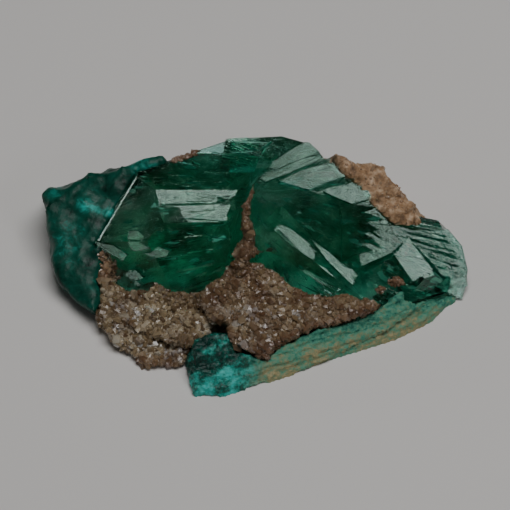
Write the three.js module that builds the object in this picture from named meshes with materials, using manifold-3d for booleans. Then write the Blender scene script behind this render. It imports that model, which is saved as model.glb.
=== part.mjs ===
// A dioptase specimen: emerald-green crystals that radiate from a brown seam, on a quartz-bearing matrix
// with a teal crust of small crystals at its left end and a fibrous green vein along its front foot.
// Millimetres, +Z up. The specimen rests on z = 0 with its display side towards -Y, leaning back.
import * as THREE from "three";
import { ImprovedNoise } from "three/addons/math/ImprovedNoise.js";
import { MeshSurfaceSampler } from "three/addons/math/MeshSurfaceSampler.js";
import { TessellateModifier } from "three/addons/modifiers/TessellateModifier.js";
import { mergeVertices } from "three/addons/utils/BufferGeometryUtils.js";
import Module from "manifold-3d";

const wasm = await Module();
wasm.setup();

// Driving dimensions
const LEAN = THREE.MathUtils.degToRad(50); // the display side looks up from the front by this angle
const GAP = 0.3; // between neighbouring pieces
const BLOCK = 90; // the stock that crystals are cut from
const DEEP = 30; // rock is cut from bars that reach this far behind and before the display side
const FOOT = 2; // how far rock is carried below its base before the base is cut flat
const ROOT_HEIGHT = 0.9; // crystals end in the matrix at this height above the base
const LEDGE_SINK = 0.8; // how far a growth ledge reaches into its crystal
const LEDGE_REACH = 0.3; // the most that a ledge stands out of its crystal's faces
const ROOM = 0.4; // what a crystal keeps free around its faces, its ledges included

// Directions on the display side: to the right, up it, and out of it
const RIGHT = new THREE.Vector3(1, 0, 0);
const UP = new THREE.Vector3(0, Math.sin(LEAN), Math.cos(LEAN));
const OUT = new THREE.Vector3(0, -Math.cos(LEAN), Math.sin(LEAN));

// A point or direction given on the display side
function shown([right, up, out]) {
  return new THREE.Vector3()
    .addScaledVector(RIGHT, right)
    .addScaledVector(UP, up)
    .addScaledVector(OUT, out);
}

// Crystals: each face has the direction that it faces and a point that it passes through

const LEFT_CRYSTAL = {
  top: { facing: [0, 0.766, 0.643], through: [-5, 7.8, 7.8] },
  upper: { facing: [0, 0.342, 0.94], through: [-5, 7.8, 7.8] },
  lower: { facing: [0, -0.42, 0.91], through: [-5, 4.4, 9.0] },
  back: { facing: [-0.28, 0.96, 0.06], through: [-6, 11.6, 3.3] },
  tipFront: { facing: [-0.56, 0.15, 0.815], through: [-9.3, 4.4, 9.0] },
  tipUnder: { facing: [-0.45, -0.55, 0.7], through: [-16.4, 2.3, 4.5] },
  tipStrip: { facing: [-0.678, 0.251, 0.69], through: [-14, 5.9, 5.5] },
  tipSide: { facing: [-0.86, 0.5, 0.1], through: [-16.4, 2.3, 4.5] },
  endFacet: { facing: [0.52, 0.08, 0.85], through: [-2.3, 6, 8.4] },
  end: { facing: [0.96, -0.27, 0.1], through: [-1.4, 5.5, 8] },
  under: { facing: [0, -1, 0.1], through: [-8, -3.2, 5.5] },
  root: { facing: [0.3, 0, -0.95], through: [-6, 4, 0.6] },
};

const MAIN_CRYSTAL = {
  upper: { facing: [0.123, 0.36, 0.925], through: [3.3, 8.7, 7.3] },
  front: { facing: [-0.05, -0.12, 0.99], through: [3.3, 8.7, 7.3] },
  rightFacet: { facing: [0.3, -0.05, 0.95], through: [10.6, 3.6, 7.05] },
  backRight: { facing: [0.7, 0.71, -0.05], through: [9.1, 9.4, 5.7] },
  backLeft: { facing: [-0.5, 0.866, 0], through: [4.2, 11.8, 6] },
  leftEnd: { facing: [-0.82, 0.5, 0.28], through: [0.94, 8.5, 7.6] },
  frontEnd: { facing: [0.45, -0.77, 0.45], through: [13.2, 0.9, 6.4] },
  root: { facing: [0, 0.2, -0.98], through: [8, 4, 0.6] },
};

const SPEAR_CRYSTAL = {
  upper: { facing: [0.273, 0.2, 0.941], through: [1.35, 7.8, 7.1] },
  lower: { facing: [-0.27, -0.5, 0.825], through: [2.2, 3.5, 7.75] },
  point: { facing: [0.9, 0.2, 0.38], through: [11.5, -3.4, 6.6] },
  shoulder: { facing: [-0.45, 0.35, 0.82], through: [2.2, 3.3, 7.8] },
  end: { facing: [-0.98, 0, 0.2], through: [0.1, 5, 7] },
  back: { facing: [0.2, 0.97, 0.1], through: [1.4, 7.9, 7] },
  root: { facing: [0, 0.1, -0.99], through: [5, 0, 1.4] },
};

const CORNER_CRYSTAL = {
  upper: { facing: [0.15, 0.3, 0.94], through: [16.4, 2.6, 5.6] },
  left: { facing: [-0.25, -0.2, 0.95], through: [14.7, 1, 6.3] },
  front: { facing: [0.4, -0.65, 0.64], through: [16.8, -1.8, 6.9] },
  right: { facing: [0.76, 0.59, 0.28], through: [16.4, 2.6, 5.6] },
  notch: { facing: [-0.6, 0.65, 0.45], through: [14.7, 1, 6.3] },
  root: { facing: [0, 0.3, -0.95], through: [16, 0, 1.4] },
};

const END_CRYSTAL = {
  upper: { facing: [0.3, -0.05, 0.95], through: [10.6, 3.6, 7.1] },
  ridge: { facing: [0.2, 0.87, 0.45], through: [20, 3.4, 4.3] },
  corner: { facing: [0.72, 0.64, 0.2], through: [20, 3.4, 4.3] },
  right: { facing: [0.93, 0.25, 0.25], through: [21.6, 0.4, 3.9] },
  lower: { facing: [-0.3, -0.72, 0.62], through: [18.8, -0.5, 4.7] },
  left: { facing: [-0.9, 0, 0.4], through: [10, 3, 6] },
  root: { facing: [0, 0.3, -0.95], through: [16, 0, 0.6] },
};

const RIDGE_CRYSTAL = {
  front: { facing: [-0.12, 0.2, 0.97], through: [2, 12, 3.6] },
  facet: { facing: [0.45, 0.5, 0.74], through: [3.4, 12.2, 3.9] },
  top: { facing: [-0.06, 0.99, 0.1], through: [1, 13.4, 3] },
  right: { facing: [0.8, 0.55, 0], through: [5.6, 12.9, 2] },
  left: { facing: [-0.97, 0.1, 0.2], through: [-3.5, 11, 0] },
  under: { facing: [0, -1, 0], through: [0, 8, 0] },
  root: { facing: [0, 0.1, -0.99], through: [1, 10, -4] },
};

// Growth ledges: a flat plate on one face, with its outline on the display side, how far it rises and
// which way it faces

const STREAK = [0, 0.342, 0.94]; // the direction that the bright streaked ledges face
const LEFT_LEDGES = [
  {
    of: LEFT_CRYSTAL,
    face: "upper",
    outline: [[-10.1, 7.4], [-2.2, 7.6], [-2, 7.2], [-3.6, 7], [-3.8, 6.4], [-9.7, 6.3]],
    rise: 0.14,
    facing: STREAK,
  },
  {
    of: LEFT_CRYSTAL,
    face: "upper",
    outline: [[-9.6, 6], [-3.4, 6.2], [-2.4, 4.5], [-6.9, 4.8], [-8.6, 4.9]],
    rise: 0.22,
    facing: [0.01, 0.36, 0.93],
  },
  {
    of: LEFT_CRYSTAL,
    face: "lower",
    outline: [[-5.2, 4.1], [-2.6, 4.2], [-2.5, 2.8], [-4.2, 2.9], [-5, 3.4]],
    rise: 0.2,
    facing: [0.02, -0.36, 0.93],
  },
  {
    of: LEFT_CRYSTAL,
    face: "tipUnder",
    outline: [[-16.3, 2.4], [-14.5, 2], [-13, 1.1], [-13.5, 0.5], [-14.9, 1.3], [-16.1, 2.1]],
    rise: 0.2,
    facing: [-0.45, -0.53, 0.72],
  },
  {
    of: LEFT_CRYSTAL,
    face: "tipUnder",
    outline: [[-12.7, -0.4], [-11.2, -1.2], [-12, -1.5], [-11.9, -2.6], [-13, -2.8], [-14.3, -1.8]],
    rise: 0.25,
    facing: [-0.45, -0.53, 0.72],
  },
];

const MAIN_LEDGES = [
  {
    outline: [[2.1, 10.7], [5.3, 12.7], [5.8, 12.7], [6.9, 11.7], [5.3, 11], [2.3, 9.8], [1.8, 10.1]],
    rise: 0.3,
  },
  {
    outline: [[0.3, 9], [1.8, 9.8], [4.4, 11], [6.9, 11.6], [7.1, 11], [5.5, 10.3], [1.2, 8.5]],
    rise: 0.18,
  },
  {
    outline: [[2.4, 8.8], [4.2, 9.7], [8.4, 10.6], [9, 9.6], [9.6, 9.1], [5.8, 7.7], [3.5, 8.6]],
    rise: 0.34,
  },
  {
    outline: [[7.3, 7.6], [10.6, 8.6], [12, 7.7], [12.3, 7.2], [11.9, 6.8], [10.3, 6.3], [9.2, 6.8]],
    rise: 0.24,
  },
].map((ledge) => ({ of: MAIN_CRYSTAL, face: "upper", facing: MAIN_CRYSTAL.upper.facing, ...ledge }));

const END_LEDGES = [
  {
    outline: [[11.4, 4.8], [16.2, 3.8], [19.9, 3], [20.1, 2.5], [15.5, 3.4], [11.1, 4.2]],
    rise: 0.16,
  },
  {
    outline: [[11, 3.7], [15, 3], [20.8, 1.7], [21, 1.1], [15.2, 2.4], [11.2, 3.2]],
    rise: 0.24,
  },
  {
    outline: [[16.9, 1.8], [21.3, 0.6], [21.5, -0.2], [17.4, 1.1]],
    rise: 0.14,
  },
].map((ledge) => ({ of: END_CRYSTAL, face: "upper", facing: END_CRYSTAL.upper.facing, ...ledge }));

const SPEAR_LEDGES = [
  {
    outline: [[2.1, 3.6], [2.7, 4.1], [3.5, 4], [5.8, 2.2], [6.4, 1], [6.3, 0.5], [5.8, 0.7], [4.1, 1.9]],
    rise: 0.2,
  },
  {
    outline: [[6.1, 2.5], [8, 1.2], [9.5, -0.2], [11, -1.1], [10.4, -2.1], [11.4, -3.5], [7.6, 0.5]],
    rise: 0.2,
  },
].map((ledge) => ({ of: SPEAR_CRYSTAL, face: "upper", facing: [0.25, 0.22, 0.943], ...ledge }));

// Rock: pieces with an outline on the display side, broken off in front along a plane

const MATRIX_PIECES = {
  leftDruse: {
    outline: [
      [-16.2, 0.3], [-16.5, -2.1], [-16.2, -5.4], [-15.2, -7], [-13.3, -8.5], [-11.2, -10.3],
      [-9.8, -10.7], [-7, -10.6], [-5.5, -8.3], [-1.9, -7.8], [-1.4, 0.3], [-5.5, 0.3],
      [-11.8, -2.3], [-14, 0.3],
    ],
    facing: [0, 0.42, 0.9],
    through: [-9.7, -10.5, 9.3],
  },
  shelf: {
    outline: [
      [-5.2, -3.8], [-4.3, -2.1], [-2.2, -0.1], [-0.3, 0.7], [1.6, -0.7], [3.8, -2.4], [6, -3.6],
      [9.6, -3.6], [12.9, -4.2], [13.7, -5.2], [10.3, -6.3], [7.9, -7.1], [5.1, -7.8], [3.3, -8.8],
      [1, -10.5], [-0.6, -10.1], [-2.4, -9.7], [-3.2, -7.6], [-4.3, -5.9],
    ],
    facing: [0, 0.45, 0.89],
    through: [1, -9.6, 11.2],
  },
  rearRight: {
    outline: [
      [8.4, 11.8], [10.5, 10.3], [12.4, 10.3], [13.4, 9.6], [15.6, 7.3], [17, 5.8], [17.9, 4.5],
      [16.7, 3.2], [12.6, 6.4], [9.9, 9.5],
    ],
    facing: [0.31, 0.2, 0.93],
    through: [12.4, 9.9, 5],
  },
  topStrip: {
    outline: [
      [-9.9, 10.9], [-8.5, 12], [-6.1, 12.2], [-3.5, 13], [-3.2, 12], [-5.5, 10.9], [-9.4, 10.3],
    ],
    facing: [0, 0.6, 0.8],
    through: [-7.2, 11.5, 3.8],
  },
  core: {
    outline: [
      [-14.9, 8.3], [-8.6, 10.1], [0.7, 12.2], [7, 11.8], [10.1, 9.7], [15.3, 6.6], [19.4, 3],
      [21.3, 0.3], [21.1, -2.8], [15.3, -2.8], [9.6, -4.9], [0.9, -8.4], [-6.6, -8.4],
      [-14.9, -5.7], [-18.2, -1.6], [-18.8, 5.7],
    ],
    facing: [0, 0.643, 0.766],
    through: [0, 0, 2.8],
  },
  rearCore: {
    outline: [[-10.7, 7.3], [-1.4, 11.4], [8, 10.9], [13.7, 6.2], [13.7, 3.1], [-0.3, 1], [-10.7, 1.6]],
    facing: [0, 0.5, 0.86],
    through: [0, 8, 3.2],
  },
};

const CRUST_PIECES = {
  slab: {
    outline: [
      [-22, 7.5], [-21.5, 8], [-20.2, 8.1], [-15.7, 9.6], [-12.2, 10.5], [-9.2, 11.3], [-7.6, 9],
      [-10.7, 5.2], [-14, 2.6], [-14.7, -0.5], [-15.1, -4.9], [-16.2, -5.4], [-18.4, -3.7],
      [-20.1, -2], [-21, 0.7], [-21.1, 3.1], [-21.2, 4.2], [-21.5, 5.2],
    ],
    facing: [-0.2, 0.3, 0.93],
    through: [-18, 4, 3.6],
  },
};

// The back is broken off steeply, in the part's own directions
const BACK = { facing: [0.05, 0.97, 0.25], through: [0, 9.2, 8] };

// Where the crust and the vein meet the rest of the rock: each fills one of these outlines
const CRUST_ZONE = [
  [-26.3, 15.1], [-9.7, 15.1], [-8.8, 9.4], [-10.7, 6.8], [-15.5, 4.5], [-16.2, 2.6], [-15.8, 0.3],
  [-16.4, -1.6], [-15.9, -3.4], [-16.2, -4.9], [-17, -8.8], [-26.3, -8.8],
];
const VEIN_ZONE = [
  [-10.7, -16.1], [-7.3, -12.5], [-6.9, -9.9], [-5.9, -7.8], [-4.5, -7.2], [-2.6, -7.1],
  [-2.1, -8.7], [-0.6, -8.9], [1, -9.6], [3.2, -8], [5.1, -7], [7.9, -6.2], [10.3, -5.5], [13, -4.6],
  [15.4, -2.7], [18.4, -2.7], [23.6, -1.6], [27.8, -16.1],
];

// The shaded hollow beside the shelf, on the display side
const CAVE = { at: [-3.5, -6.5, 9.2], half: [1.5, 0.9, 2.6] };

// How rough the broken rock is: the spacing of its points, and how far waves of noise move them
const MATRIX_ROUGH = { spacing: 1.7, shift: 0.7, pitch: 0.45, seed: 3.1 };
const CRUST_ROUGH = { spacing: 2.2, shift: 0.55, pitch: 0.55, seed: 7.7 };

// The brown seam between the crystals: lumps from its top to its foot, on the display side
const SEAM = {
  route: [
    [0.5, 8.3, 7.9],
    [-0.6, 6.9, 8.3],
    [-0.9, 5.2, 8.7],
    [-0.4, 3.4, 8.7],
    [-0.7, 1.6, 8.3],
    [-1.4, -0.4, 7.6],
  ],
  lumps: 12,
  half: [0.72, 1.1, 4],
};

// The vein along the foot: a tapering slab with a leaning front, in the part's own directions
const VEIN_FACES = [
  { facing: [0.3, -0.76, 0.57], through: [-5.9, -17.3, 0] },
  { facing: [0.42, -0.7, 0.58], through: [9, -12.6, 0] },
  { facing: [0.42, -0.55, 0.72], through: [15.3, -9.9, 0] },
  { facing: [0.75, -0.5, 0.43], through: [19.8, -7.6, 0] },
  { facing: [0.98, 0.1, 0.1], through: [21.4, -5.3, 0] },
  { facing: [-0.97, -0.22, 0.2], through: [-6.4, -15, 0] },
  { facing: [0.02, -0.04, 0.99], through: [-4, -14.5, 3.1] },
  { facing: [-0.3, 0.95, 0], through: [6, -6, 0] },
];
const VEIN_STRATA = { count: 6, step: 0.62, proud: 0.34, thick: 0.36 };

// Small crystals strewn over a surface
const MATRIX_GRAINS = { count: 200, size: [0.5, 1.15], seed: 31, sides: 5 };
const CRUST_GRAINS = { count: 70, size: [0.6, 1.4], seed: 32, sides: 6 };
const VEIN_GRAINS = { count: 34, size: [0.5, 1], seed: 33, sides: 5 };

const COLOURS = {
  dioptase: { color: 0x06543c, roughness: 0.08, metalness: 0 },
  crust: { color: 0x0c6f6a, roughness: 0.45, metalness: 0 },
  vein: { color: 0x3f9c82, roughness: 0.6, metalness: 0 },
  matrix: { color: 0x7a6047, roughness: 0.8, metalness: 0 },
};

// Solids

function solidOf(geometry) {
  const bare = geometry.clone();
  bare.deleteAttribute("normal");
  bare.deleteAttribute("uv");
  const merged = mergeVertices(bare, 1e-4);
  return new wasm.Manifold(
    new wasm.Mesh({
      numProp: 3,
      vertProperties: merged.attributes.position.array,
      triVerts: new Uint32Array(merged.index.array),
    }),
  );
}

function geometryOf(solid) {
  const mesh = solid.getMesh();
  return new THREE.BufferGeometry()
    .setAttribute("position", new THREE.BufferAttribute(mesh.vertProperties, 3))
    .setIndex(new THREE.BufferAttribute(mesh.triVerts, 1));
}

const union = (solids) => solids.reduce((all, solid) => all.add(solid));
const without = (solid, cutters) => cutters.reduce((rest, cutter) => rest.subtract(cutter), solid);
const largest = (solid) => solid.decompose().sort((a, b) => b.volume() - a.volume())[0];

// Keeps what lies behind the plane that faces `normal` and passes through `point`
function cut(solid, normal, point, grow = 0) {
  const n = normal.clone().normalize();
  return solid.trimByPlane(n.clone().negate().toArray(), -(n.dot(point) + grow));
}

function crystal(faces, grow = 0) {
  let solid = solidOf(new THREE.BoxGeometry(BLOCK, BLOCK, BLOCK));
  for (const { facing, through } of Object.values(faces)) {
    solid = cut(solid, shown(facing), shown(through), grow);
  }
  const free = cut(solid, new THREE.Vector3(...BACK.facing), new THREE.Vector3(...BACK.through), grow);
  return cut(free, new THREE.Vector3(0, 0, -1), new THREE.Vector3(0, 0, ROOT_HEIGHT), grow);
}

// A plate with its outline on the display side, laid on its face and raised square to it
function ledgeOn({ of, face, outline, rise, facing }) {
  const normal = shown(of[face].facing).normalize();
  const onFace = ([right, up]) => {
    const start = shown([right, up, 0]);
    const depth = normal.dot(shown(of[face].through).sub(start)) / normal.dot(OUT);
    return start.addScaledVector(OUT, depth);
  };
  const corners = outline.map(onFace);
  const origin = corners[0];
  const along = corners[1].clone().sub(origin).normalize();
  const across = normal.clone().cross(along);
  const shape = new THREE.Shape(
    corners.map((p) => p.clone().sub(origin)).map((p) => new THREE.Vector2(p.dot(along), p.dot(across))),
  );
  const plate = new THREE.ExtrudeGeometry(shape, { depth: LEDGE_SINK + 1, bevelEnabled: false });
  plate.translate(0, 0, -LEDGE_SINK);
  plate.applyMatrix4(new THREE.Matrix4().makeBasis(along, across, normal).setPosition(origin));
  const middle = corners.reduce((sum, p) => sum.add(p), new THREE.Vector3()).divideScalar(corners.length);
  const raised = cut(solidOf(plate), shown(facing), middle.addScaledVector(normal, rise));
  return raised.intersect(crystal(of, LEDGE_REACH));
}

function seeded(seed) {
  let state = seed * 7919;
  return () => THREE.MathUtils.seededRandom(state++);
}

const noise = new ImprovedNoise();

// A bar along the viewing direction with an outline as seen on the display side
function bar(outline) {
  const shape = new THREE.Shape(outline.map((p) => new THREE.Vector2(...p)));
  const along = new THREE.ExtrudeGeometry(shape, { depth: 2 * DEEP, bevelEnabled: false });
  along.translate(0, 0, -DEEP);
  return solidOf(along.applyMatrix4(new THREE.Matrix4().makeBasis(RIGHT, UP, OUT)));
}

// The same bar, wider by the gap on every side
function barWithGap(outline) {
  const solid = bar(outline);
  const shifts = [[GAP, 0, 0], [-GAP, 0, 0], [0, GAP, 0], [0, -GAP, 0]].map(shown);
  return union([solid, ...shifts.map((shift) => solid.translate(shift.toArray()))]);
}

// A rock piece: a bar broken off in front and at the back
function rockPiece({ outline, facing, through }) {
  const broken = cut(bar(outline), shown(facing), shown(through));
  const free = cut(broken, new THREE.Vector3(...BACK.facing), new THREE.Vector3(...BACK.through));
  return cut(free, new THREE.Vector3(0, 0, -1), new THREE.Vector3(0, 0, -FOOT));
}

// Splits a solid's faces into small ones and moves their points by waves of noise
function roughened(solid, { spacing, shift, pitch, seed }) {
  const split = new TessellateModifier(spacing, 12).modify(geometryOf(solid).toNonIndexed());
  const merged = mergeVertices(split, 1e-3);
  const points = merged.attributes.position;
  const p = new THREE.Vector3();
  const wave = (x, y, z) => noise.noise(x, y, z) + 0.45 * noise.noise(2.7 * x, 2.7 * y, 2.7 * z);
  for (let i = 0; i < points.count; i++) {
    p.fromBufferAttribute(points, i);
    const q = p.clone().multiplyScalar(pitch).addScalar(seed);
    const move = [wave(q.x, q.y, q.z), wave(q.y + 9, q.z, q.x), wave(q.z + 17, q.x, q.y)];
    points.setXYZ(i, ...p.addScaledVector(new THREE.Vector3(...move), shift));
  }
  return solidOf(merged);
}

const rock = (pieces, rough) => roughened(union(Object.values(pieces).map(rockPiece)), rough);

// A ball broken by noise, with half sizes to the right, up and out of the display side
function lump([right, up, out], centre, seed) {
  const ball = new THREE.IcosahedronGeometry(1, 1);
  const points = ball.attributes.position;
  const p = new THREE.Vector3();
  for (let i = 0; i < points.count; i++) {
    p.fromBufferAttribute(points, i).normalize();
    const swell = 1 + 0.3 * noise.noise(2.2 * p.x + 3.7 * seed, 2.2 * p.y, 2.2 * p.z);
    points.setXYZ(i, p.x * swell * right, p.y * swell * up, p.z * swell * out);
  }
  ball.applyMatrix4(new THREE.Matrix4().makeBasis(RIGHT, UP, OUT));
  return solidOf(ball.translate(...centre));
}

function seamLumps() {
  const route = new THREE.CatmullRomCurve3(SEAM.route.map(shown));
  const [across, along, deep] = SEAM.half;
  return Array.from({ length: SEAM.lumps }, (_, i) => {
    const t = i / (SEAM.lumps - 1);
    const wide = across * (0.8 + 0.9 * t * t) * (1 + 0.25 * Math.sin(5 * i));
    const side = 0.25 * Math.sin(3.1 * i);
    const centre = route.getPoint(t).addScaledVector(OUT, -deep).addScaledVector(RIGHT, side);
    return lump([wide, along, deep], centre, i);
  });
}

// Small pointed crystals standing on a solid's surface, at seeded places and turns
function grainsOn(solid, { count, size, seed, sides }, allowed = () => true) {
  const random = seeded(seed);
  const skin = geometryOf(solid).toNonIndexed();
  skin.computeVertexNormals();
  const sampler = new MeshSurfaceSampler(new THREE.Mesh(skin)).setRandomGenerator(random).build();
  const place = new THREE.Vector3();
  const normal = new THREE.Vector3();
  const grains = [];
  while (grains.length < count) {
    sampler.sample(place, normal);
    const width = THREE.MathUtils.lerp(...size, random() ** 2);
    const jitter = new THREE.Vector3(random() - 0.5, random() - 0.5, random() - 0.5);
    const turn = random() * Math.PI;
    if (!allowed(place)) continue;
    const point = new THREE.ConeGeometry(width * 0.62, width * 1.2, sides).rotateY(turn);
    const stand = new THREE.Quaternion().setFromUnitVectors(
      new THREE.Vector3(0, 1, 0),
      normal.clone().addScaledVector(jitter, 1.1).normalize(),
    );
    point.applyQuaternion(stand).translate(...place.clone().addScaledVector(normal, width * 0.12));
    grains.push(solidOf(point));
  }
  return grains;
}

// The vein: a slab cut by its faces, with thin strata standing proud along its front
function vein(grow = 0) {
  let slab = solidOf(new THREE.BoxGeometry(BLOCK, BLOCK, BLOCK));
  for (const { facing, through } of VEIN_FACES) {
    slab = cut(slab, new THREE.Vector3(...facing), new THREE.Vector3(...through), grow);
  }
  return slab;
}

function veinWithStrata() {
  const slab = vein();
  const proud = vein(VEIN_STRATA.proud);
  const layers = Array.from({ length: VEIN_STRATA.count }, (_, i) => {
    const height = 0.25 + i * VEIN_STRATA.step;
    const up = new THREE.Vector3(-0.1 - 0.02 * i, -0.05 + 0.03 * (i % 3), 1);
    const foot = new THREE.Vector3(6, -12, height);
    const layer = cut(proud, up, foot.clone().setZ(height + VEIN_STRATA.thick));
    return cut(layer, up.clone().negate(), foot);
  });
  return union([slab, ...layers]);
}

// The pieces

const above = (solid) => solid.trimByPlane([0, 0, 1], 0);
const grownTogether = [
  LEFT_CRYSTAL,
  MAIN_CRYSTAL,
  SPEAR_CRYSTAL,
  CORNER_CRYSTAL,
  END_CRYSTAL,
  RIDGE_CRYSTAL,
];
const ledges = [...LEFT_LEDGES, ...MAIN_LEDGES, ...END_LEDGES, ...SPEAR_LEDGES];

const crystals = union([...grownTogether.map((faces) => crystal(faces)), ...ledges.map(ledgeOn)]);
const crystalRoom = union(grownTogether.map((faces) => crystal(faces, ROOM)));

const crustRock = rock(CRUST_PIECES, CRUST_ROUGH);
const crustBody = union([crustRock, ...grainsOn(crustRock, CRUST_GRAINS, (p) => p.z > 0.8)]);
const crust = largest(
  above(without(crustBody.intersect(bar(CRUST_ZONE)), [crystalRoom])),
);

const veinRock = veinWithStrata();
const veinBody = union([veinRock, ...grainsOn(veinRock, VEIN_GRAINS, (p) => p.z > 1.6 && p.x < 1)]);
const veinPiece = largest(above(without(veinBody.intersect(bar(VEIN_ZONE)), [crystalRoom])));

const matrixRock = union([rock(MATRIX_PIECES, MATRIX_ROUGH), ...seamLumps()]);
const matrixGrains = grainsOn(matrixRock, MATRIX_GRAINS, (p) => p.z > 0.8 && p.y < 2);
const matrixBody = union([matrixRock, ...matrixGrains]);
const cave = lump(CAVE.half, shown(CAVE.at), 40);
const matrixRooms = [crystalRoom, barWithGap(CRUST_ZONE), barWithGap(VEIN_ZONE), cave];
const matrix = largest(above(without(matrixBody, matrixRooms)));

const specimen = new THREE.Group();
function addPiece(name, solid, look) {
  const mesh = new THREE.Mesh(geometryOf(solid), new THREE.MeshStandardMaterial(look));
  mesh.name = name;
  specimen.add(mesh);
}

addPiece("matrix", matrix, COLOURS.matrix);
addPiece("crystals", crystals, COLOURS.dioptase);
addPiece("teal_crust", crust, COLOURS.crust);
addPiece("foot_vein", veinPiece, COLOURS.vein);

// The origin is the middle of the base
const extent = new THREE.Box3().setFromObject(specimen);
const middle = extent.getCenter(new THREE.Vector3());
specimen.position.set(-middle.x, -middle.y, -extent.min.z);

export default specimen;
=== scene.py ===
"""A dioptase specimen in a plain studio: clear green crystals on a sparkling brown druse."""

import math
import random

import bmesh
import bpy
import numpy as np
from mathutils import Matrix, Vector, noise
from mathutils.bvhtree import BVHTree


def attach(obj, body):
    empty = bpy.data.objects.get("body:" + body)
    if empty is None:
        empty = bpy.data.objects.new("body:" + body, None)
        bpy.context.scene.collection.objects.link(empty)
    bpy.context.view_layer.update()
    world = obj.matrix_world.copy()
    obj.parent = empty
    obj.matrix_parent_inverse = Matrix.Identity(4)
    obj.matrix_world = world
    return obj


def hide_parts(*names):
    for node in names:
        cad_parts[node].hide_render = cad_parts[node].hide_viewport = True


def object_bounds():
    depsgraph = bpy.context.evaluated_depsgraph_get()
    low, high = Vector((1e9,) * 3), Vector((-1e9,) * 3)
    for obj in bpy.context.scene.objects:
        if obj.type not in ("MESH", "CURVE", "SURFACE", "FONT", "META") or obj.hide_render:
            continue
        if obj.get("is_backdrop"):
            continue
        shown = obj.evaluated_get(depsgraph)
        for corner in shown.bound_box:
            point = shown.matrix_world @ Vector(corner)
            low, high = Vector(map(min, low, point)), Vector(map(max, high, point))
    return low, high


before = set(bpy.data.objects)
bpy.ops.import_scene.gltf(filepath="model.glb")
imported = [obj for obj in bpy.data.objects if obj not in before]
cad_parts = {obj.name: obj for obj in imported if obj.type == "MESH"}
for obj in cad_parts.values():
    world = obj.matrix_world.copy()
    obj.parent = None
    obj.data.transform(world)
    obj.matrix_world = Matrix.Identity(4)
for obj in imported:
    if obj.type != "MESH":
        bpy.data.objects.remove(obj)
CAD_LOW, CAD_HIGH = (Vector(corner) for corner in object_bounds())

MM = 0.001

# The display side: to the right, up it, and out of it towards the camera
LEAN = math.radians(50)
RIGHT = Vector((1, 0, 0))
UP = Vector((0, math.sin(LEAN), math.cos(LEAN)))
OUT = Vector((0, -math.cos(LEAN), math.sin(LEAN)))
ORIGIN = Vector((0.007, 2.707, 0)) * MM  # the display side's origin in the row frame

# Where the crystals' streaks radiate from, on the display side, in millimetres
LEFT_CENTRE = (12.6, 6.2, 5.0)
RIGHT_CENTRE = (-1.4, 7.6, 5.0)
SEAM_LINE = ((-1.2, 5.5), (0.6, 12.0))  # the left crystal ends at the line through these points

FAR = 20.0  # further out of the display side than everything on it, in millimetres

# Seeds of the random draws
STRIP_SEED = 5
VEIL_SEED = 77
DRUSE_SEED = 41
TUFT_SEED = 8

CAMERA_DISTANCE = 0.45
VIEW_WIDTH = 53.04 * MM  # what the picture's width covers at the object
CAMERA_AIM = (0.208, 1.04, 7.0)  # the point on the display side in the picture's middle


def shown(right, up, out):
    """The place of a point given on the display side, in millimetres."""
    return ORIGIN + (RIGHT * right + UP * up + OUT * out) * MM


def display_coordinates(points):
    """Right, up and out of the display side, in millimetres, of an array of points."""
    offset = (points - np.array(ORIGIN)) / MM
    return offset @ np.array([RIGHT, UP, OUT]).T


def display_place(point):
    """Right, up and out of the display side, in millimetres, of one point."""
    return display_coordinates(np.array([point]))[0]


# Meshes

MERGE_DISTANCE = 0.002
SMOOTHING = 0.6


def new_object(name, mesh, material=None):
    piece = bpy.data.objects.new(name, mesh)
    bpy.context.scene.collection.objects.link(piece)
    if material:
        mesh.materials.clear()
        mesh.materials.append(material)
    return piece


def solid_copy(node, name, material=None):
    """A new object with a CAD node's shape, its shared corners merged."""
    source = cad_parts[node]
    mesh = source.data.copy()
    mesh.transform(source.matrix_world)
    work = bmesh.new()
    work.from_mesh(mesh)
    bmesh.ops.remove_doubles(work, verts=work.verts, dist=MERGE_DISTANCE * MM)
    work.to_mesh(mesh)
    work.free()
    for layer in list(mesh.attributes):
        if layer.name.startswith("custom_normal"):
            mesh.attributes.remove(layer)
    mesh.shade_flat()
    return new_object(name, mesh, material)


def bake_modifiers(piece):
    """Turns a piece's modifiers into its mesh."""
    graph = bpy.context.evaluated_depsgraph_get()
    mesh = bpy.data.meshes.new_from_object(piece.evaluated_get(graph))
    piece.modifiers.clear()
    piece.data = mesh


def remesh(piece, voxel):
    """Rebuilds a piece's surface in even cells of a size in millimetres."""
    shape = piece.modifiers.new("voxels", "REMESH")
    shape.mode = "VOXEL"
    shape.voxel_size = voxel * MM
    bake_modifiers(piece)


def smooth(piece, times):
    """Rounds a piece's edges a little, several times over."""
    shape = piece.modifiers.new("smooth", "SMOOTH")
    shape.factor = SMOOTHING
    shape.iterations = times
    bake_modifiers(piece)


def vector_array(items, key):
    vectors = np.empty(len(items) * 3, dtype=np.float32)
    items.foreach_get(key, vectors)
    return vectors.reshape(-1, 3).astype(float)


def vertex_array(mesh):
    return vector_array(mesh.vertices, "co")


def normal_array(mesh):
    return vector_array(mesh.vertex_normals, "vector")


def set_vertices(mesh, places):
    """Moves a mesh's points, kept inside the solids' own box."""
    inside = np.clip(places, np.array(CAD_LOW), np.array(CAD_HIGH))
    mesh.vertices.foreach_set("co", inside.astype(np.float32).ravel())
    mesh.update()


def add_attribute(mesh, name, values, kind="FLOAT", domain="POINT"):
    layer = mesh.attributes.new(name, kind, domain)
    key = "vector" if kind == "FLOAT_VECTOR" else "value"
    layer.data.foreach_set(key, np.asarray(values, dtype=np.float32).ravel())


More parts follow.
